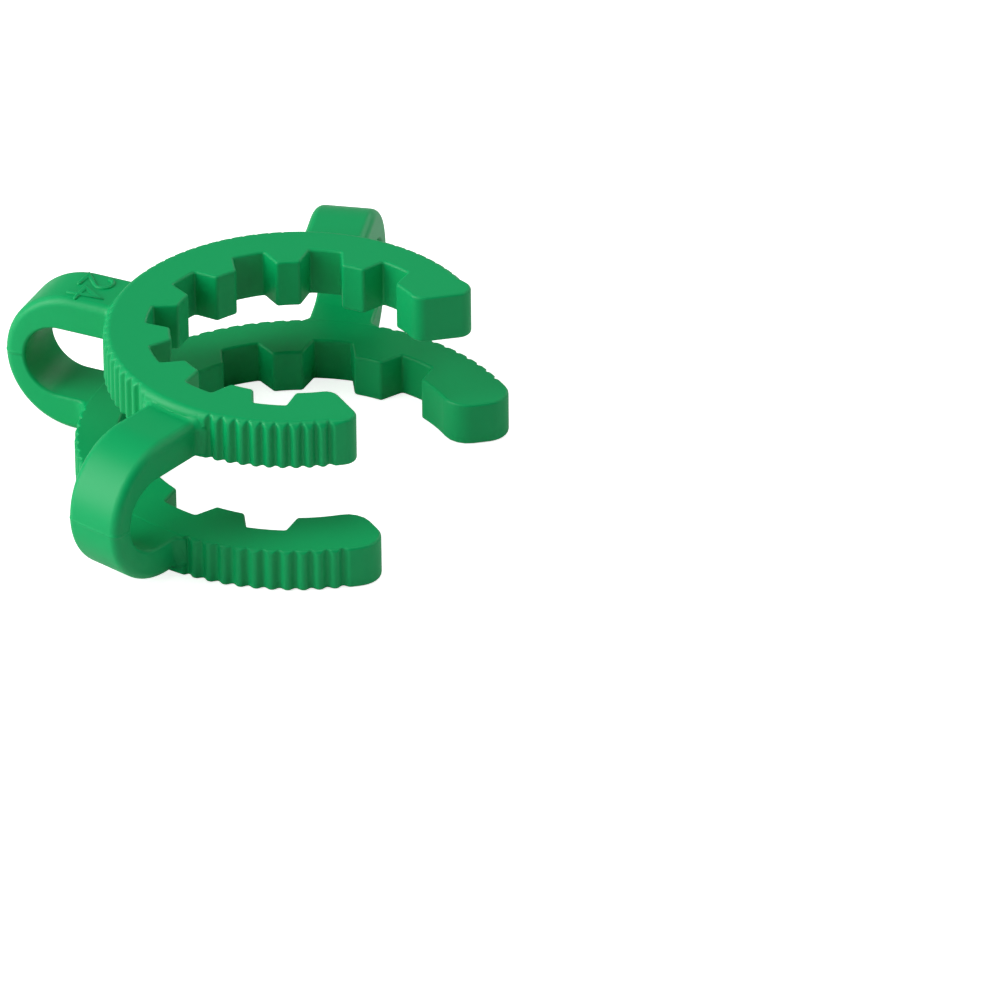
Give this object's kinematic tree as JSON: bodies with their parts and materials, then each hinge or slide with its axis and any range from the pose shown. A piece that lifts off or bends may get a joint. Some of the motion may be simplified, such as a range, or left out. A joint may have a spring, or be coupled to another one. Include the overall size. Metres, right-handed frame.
{
  "type": "ground glass joint clip",
  "caption": "One-piece springy clip whose two toothed, open grips, joined by arched springs, hold a tapered glass joint together.",
  "frame": {"origin": "on the axis of the two grips, at the underside of the large grip, which the clip stands on", "axes": "+Z along the grips' axis, from the large grip up to the small one; +X out through the middle of the mouth; +Y to the side, across the mouth"},
  "size_m": [0.0447, 0.0586, 0.0161],
  "materials": {
    "moulded_acetal": "satin, as moulded"
  },
  "bodies": {
    "root": {"clip": "moulded_acetal"}
  },
  "joints": []
}
